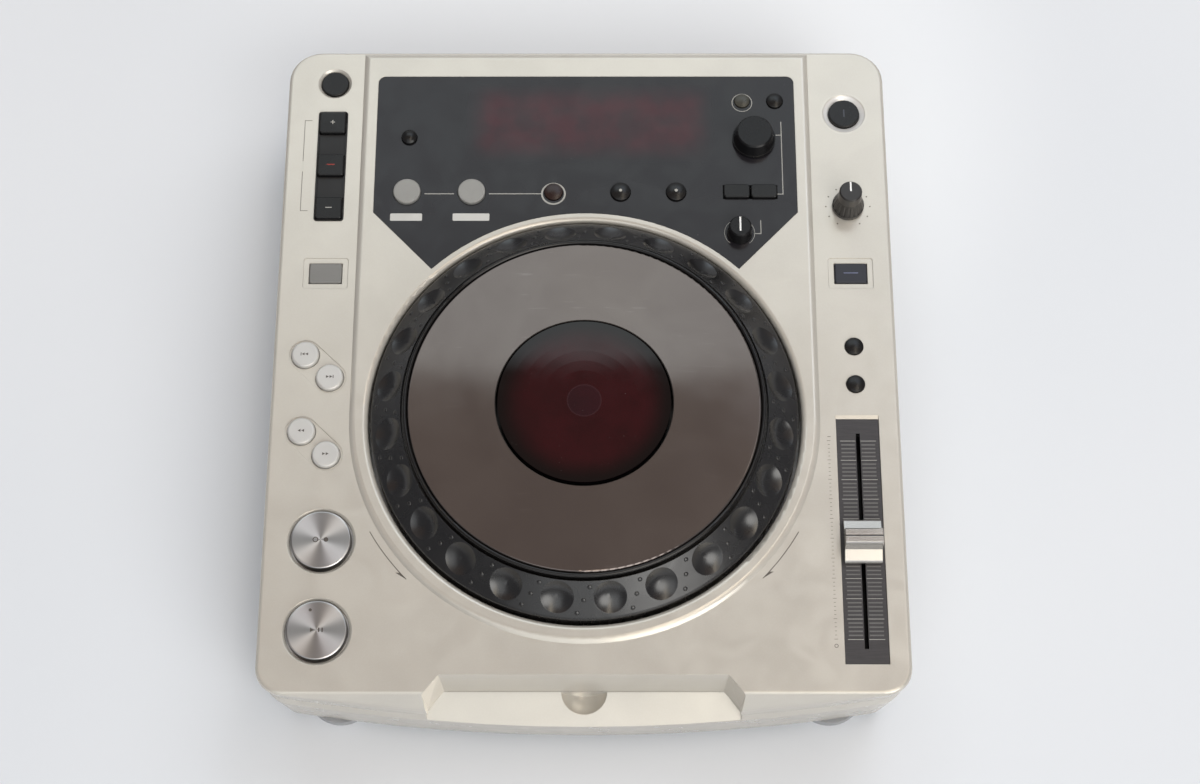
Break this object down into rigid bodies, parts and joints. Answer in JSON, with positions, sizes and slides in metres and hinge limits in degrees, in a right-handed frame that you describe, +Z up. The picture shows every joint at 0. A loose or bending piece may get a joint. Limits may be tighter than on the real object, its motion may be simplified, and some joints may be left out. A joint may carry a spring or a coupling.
{
  "type": "disc player",
  "caption": "Tabletop DJ disc player with a large dimpled jog wheel, front disc slot, long tempo fader, dark display panel, knobs and push buttons.",
  "frame": {"origin": "middle of the footprint's box, on the table under the rubber feet", "axes": "+X to the user's right, +Y to the back where the sockets are, +Z up; the disc slot faces -Y"},
  "size_m": [0.32, 0.37, 0.105],
  "materials": {
    "silver_paint": "champagne silver paint, fine satin",
    "steel_sheet": "zinc coated sheet",
    "screw_steel": "dark zinc",
    "rubber": "matte",
    "black_plastic": "fine satin",
    "panel_gloss": "smoked gloss acrylic",
    "display": "dark display glass",
    "fader_plate": "dark satin",
    "steel_part": "satin",
    "board": "solder mask",
    "window": "dark red gloss",
    "jog_black": "gloss black",
    "ring_rubber": "soft satin rubber",
    "plate_satin": "satin brown-grey anodised",
    "white_plastic": "acetal",
    "fader_knob": "bright silver",
    "knob": "satin",
    "black_key": "satin gloss",
    "grey_key": "satin",
    "blue_key": "smoked blue",
    "light_key": "satin",
    "silver_key": "bright satin",
    "spun_aluminium": "spun"
  },
  "bodies": {
    "case": {"top_cover": "silver_paint", "lower_case": "silver_paint", "base_plate": "steel_sheet", "rubber_feet": "rubber", "case_screws": "screw_steel", "rear_panel": "black_plastic", "rear_jacks": "black_plastic", "power_inlet": "black_plastic", "display_panel": "panel_gloss", "display_module": "display", "strip_bezel": "black_plastic", "fader_plate": "fader_plate", "fader_pot": "steel_part", "rotary_pots": "steel_part", "key_boards": "board", "main_board": "board", "power_supply": "board", "jog_support": "steel_part", "jog_display": "black_plastic", "jog_window": "window", "loader_chassis": "steel_sheet", "drive_motors": "steel_part"},
    "jog_wheel": {"jog_hub": "jog_black", "jog_ring": "ring_rubber", "jog_plate": "plate_satin"},
    "encoder_gear": {"encoder_gear": "white_plastic"},
    "loading_roller": {"loading_roller": "rubber"},
    "spindle_hub": {"spindle_hub": "white_plastic"},
    "pickup_sled": {"pickup_sled": "black_plastic"},
    "feed_gear": {"feed_gear": "white_plastic"},
    "fader_knob": {"fader_knob": "fader_knob"},
    "browse_knob": {"browse_knob": "knob"},
    "trim_knob": {"trim_knob": "knob"},
    "brake_knob": {"brake_knob": "knob"},
    "power_rocker": {"power_rocker": "black_plastic"},
    "eject_button": {"eject_button": "black_key"},
    "strip_key_a": {"strip_key_a": "black_key"},
    "strip_key_b": {"strip_key_b": "black_key"},
    "strip_key_c": {"strip_key_c": "black_key"},
    "memo_button": {"memo_button": "grey_key"},
    "track_back_button": {"track_back_button": "silver_key"},
    "track_next_button": {"track_next_button": "silver_key"},
    "search_back_button": {"search_back_button": "silver_key"},
    "search_next_button": {"search_next_button": "silver_key"},
    "cue_button": {"cue_button": "spun_aluminium"},
    "play_button": {"play_button": "spun_aluminium"},
    "mode_button": {"mode_button": "black_key"},
    "range_button": {"range_button": "blue_key"},
    "reset_button": {"reset_button": "black_key"},
    "lock_button": {"lock_button": "black_key"},
    "dome_button": {"dome_button": "black_key"},
    "loop_in_button": {"loop_in_button": "light_key"},
    "loop_out_button": {"loop_out_button": "light_key"},
    "loop_exit_button": {"loop_exit_button": "black_key"},
    "text_button": {"text_button": "black_key"},
    "time_button": {"time_button": "black_key"},
    "memory_button": {"memory_button": "black_key"},
    "delete_button": {"delete_button": "black_key"},
    "call_back_button": {"call_back_button": "black_key"},
    "call_next_button": {"call_next_button": "black_key"}
  },
  "joints": [
    {"name": "jog_spin", "type": "hinge", "parent": "case", "child": "jog_wheel", "pos_m": [0, -0.0336, 0.09], "axis": [0, 0, 1], "continuous": true},
    {"name": "encoder_spin", "type": "hinge", "parent": "case", "child": "encoder_gear", "pos_m": [-0.06825, -0.0336, 0.072], "axis": [0, 0, 1], "continuous": true},
    {"name": "roller_spin", "type": "hinge", "parent": "case", "child": "loading_roller", "pos_m": [0, -0.1585, 0.0493], "axis": [1, 0, 0], "continuous": true},
    {"name": "spindle_spin", "type": "hinge", "parent": "case", "child": "spindle_hub", "pos_m": [0, -0.1033, 0.05], "axis": [0, 0, 1], "continuous": true},
    {"name": "sled_slide", "type": "slide", "parent": "case", "child": "pickup_sled", "axis": [0, 1, 0], "range_m": [0, 0.035]},
    {"name": "feed_spin", "type": "hinge", "parent": "case", "child": "feed_gear", "pos_m": [0.0384, -0.0723, 0.038], "axis": [0, 0, 1], "range_deg": [-251, 0]},
    {"name": "fader_slide", "type": "slide", "parent": "case", "child": "fader_knob", "axis": [0, 1, 0], "range_m": [-0.0481, 0.0519]},
    {"name": "browse_turn", "type": "hinge", "parent": "case", "child": "browse_knob", "pos_m": [0.0895, 0.1251, 0.085], "axis": [0, 0, 1], "continuous": true},
    {"name": "trim_turn", "type": "hinge", "parent": "case", "child": "trim_knob", "pos_m": [0.0808, 0.06985, 0.085], "axis": [0, 0, 1], "range_deg": [-150, 150]},
    {"name": "brake_turn", "type": "hinge", "parent": "case", "child": "brake_knob", "pos_m": [0.1382, 0.086, 0.085], "axis": [0, 0, 1], "range_deg": [-150, 150]},
    {"name": "power_tilt", "type": "hinge", "parent": "case", "child": "power_rocker", "pos_m": [0.07, 0.172, 0.0305], "axis": [1, 0, 0], "range_deg": [-14, 0]},
    {"name": "eject_button_press", "type": "slide", "parent": "case", "child": "eject_button", "axis": [0, 0, 1], "range_m": [-0.001, 0], "stiffness_N_per_m": 300, "springref_m": 0.001},
    {"name": "strip_key_a_press", "type": "slide", "parent": "case", "child": "strip_key_a", "axis": [0, 0, 1], "range_m": [-0.001, 0], "stiffness_N_per_m": 300, "springref_m": 0.001},
    {"name": "strip_key_b_press", "type": "slide", "parent": "case", "child": "strip_key_b", "axis": [0, 0, 1], "range_m": [-0.001, 0], "stiffness_N_per_m": 300, "springref_m": 0.001},
    {"name": "strip_key_c_press", "type": "slide", "parent": "case", "child": "strip_key_c", "axis": [0, 0, 1], "range_m": [-0.001, 0], "stiffness_N_per_m": 300, "springref_m": 0.001},
    {"name": "memo_button_press", "type": "slide", "parent": "case", "child": "memo_button", "axis": [0, 0, 1], "range_m": [-0.001, 0], "stiffness_N_per_m": 300, "springref_m": 0.001},
    {"name": "track_back_button_press", "type": "slide", "parent": "case", "child": "track_back_button", "axis": [0, 0, 1], "range_m": [-0.001, 0], "stiffness_N_per_m": 300, "springref_m": 0.001},
    {"name": "track_next_button_press", "type": "slide", "parent": "case", "child": "track_next_button", "axis": [0, 0, 1], "range_m": [-0.001, 0], "stiffness_N_per_m": 300, "springref_m": 0.001},
    {"name": "search_back_button_press", "type": "slide", "parent": "case", "child": "search_back_button", "axis": [0, 0, 1], "range_m": [-0.001, 0], "stiffness_N_per_m": 300, "springref_m": 0.001},
    {"name": "search_next_button_press", "type": "slide", "parent": "case", "child": "search_next_button", "axis": [0, 0, 1], "range_m": [-0.001, 0], "stiffness_N_per_m": 300, "springref_m": 0.001},
    {"name": "cue_button_press", "type": "slide", "parent": "case", "child": "cue_button", "axis": [0, 0, 1], "range_m": [-0.001, 0], "stiffness_N_per_m": 400, "springref_m": 0.001},
    {"name": "play_button_press", "type": "slide", "parent": "case", "child": "play_button", "axis": [0, 0, 1], "range_m": [-0.001, 0], "stiffness_N_per_m": 400, "springref_m": 0.001},
    {"name": "mode_button_press", "type": "slide", "parent": "case", "child": "mode_button", "axis": [0, 0, 1], "range_m": [-0.001, 0], "stiffness_N_per_m": 300, "springref_m": 0.001},
    {"name": "range_button_press", "type": "slide", "parent": "case", "child": "range_button", "axis": [0, 0, 1], "range_m": [-0.001, 0], "stiffness_N_per_m": 300, "springref_m": 0.001},
    {"name": "reset_button_press", "type": "slide", "parent": "case", "child": "reset_button", "axis": [0, 0, 1], "range_m": [-0.001, 0], "stiffness_N_per_m": 300, "springref_m": 0.001},
    {"name": "lock_button_press", "type": "slide", "parent": "case", "child": "lock_button", "axis": [0, 0, 1], "range_m": [-0.001, 0], "stiffness_N_per_m": 300, "springref_m": 0.001},
    {"name": "dome_button_press", "type": "slide", "parent": "case", "child": "dome_button", "axis": [0, 0, 1], "range_m": [-0.001, 0], "stiffness_N_per_m": 300, "springref_m": 0.001},
    {"name": "loop_in_button_press", "type": "slide", "parent": "case", "child": "loop_in_button", "axis": [0, 0, 1], "range_m": [-0.001, 0], "stiffness_N_per_m": 300, "springref_m": 0.001},
    {"name": "loop_out_button_press", "type": "slide", "parent": "case", "child": "loop_out_button", "axis": [0, 0, 1], "range_m": [-0.001, 0], "stiffness_N_per_m": 300, "springref_m": 0.001},
    {"name": "loop_exit_button_press", "type": "slide", "parent": "case", "child": "loop_exit_button", "axis": [0, 0, 1], "range_m": [-0.001, 0], "stiffness_N_per_m": 300, "springref_m": 0.001},
    {"name": "text_button_press", "type": "slide", "parent": "case", "child": "text_button", "axis": [0, 0, 1], "range_m": [-0.001, 0], "stiffness_N_per_m": 300, "springref_m": 0.001},
    {"name": "time_button_press", "type": "slide", "parent": "case", "child": "time_button", "axis": [0, 0, 1], "range_m": [-0.001, 0], "stiffness_N_per_m": 300, "springref_m": 0.001},
    {"name": "memory_button_press", "type": "slide", "parent": "case", "child": "memory_button", "axis": [0, 0, 1], "range_m": [-0.001, 0], "stiffness_N_per_m": 300, "springref_m": 0.001},
    {"name": "delete_button_press", "type": "slide", "parent": "case", "child": "delete_button", "axis": [0, 0, 1], "range_m": [-0.001, 0], "stiffness_N_per_m": 300, "springref_m": 0.001},
    {"name": "call_back_button_press", "type": "slide", "parent": "case", "child": "call_back_button", "axis": [0, 0, 1], "range_m": [-0.001, 0], "stiffness_N_per_m": 300, "springref_m": 0.001},
    {"name": "call_next_button_press", "type": "slide", "parent": "case", "child": "call_next_button", "axis": [0, 0, 1], "range_m": [-0.001, 0], "stiffness_N_per_m": 300, "springref_m": 0.001}
  ],
  "couplings": [
    {"joint": "encoder_spin", "follows": "jog_spin", "ratio": -6},
    {"joint": "feed_spin", "follows": "sled_slide", "rad_per_m": -125}
  ]
}
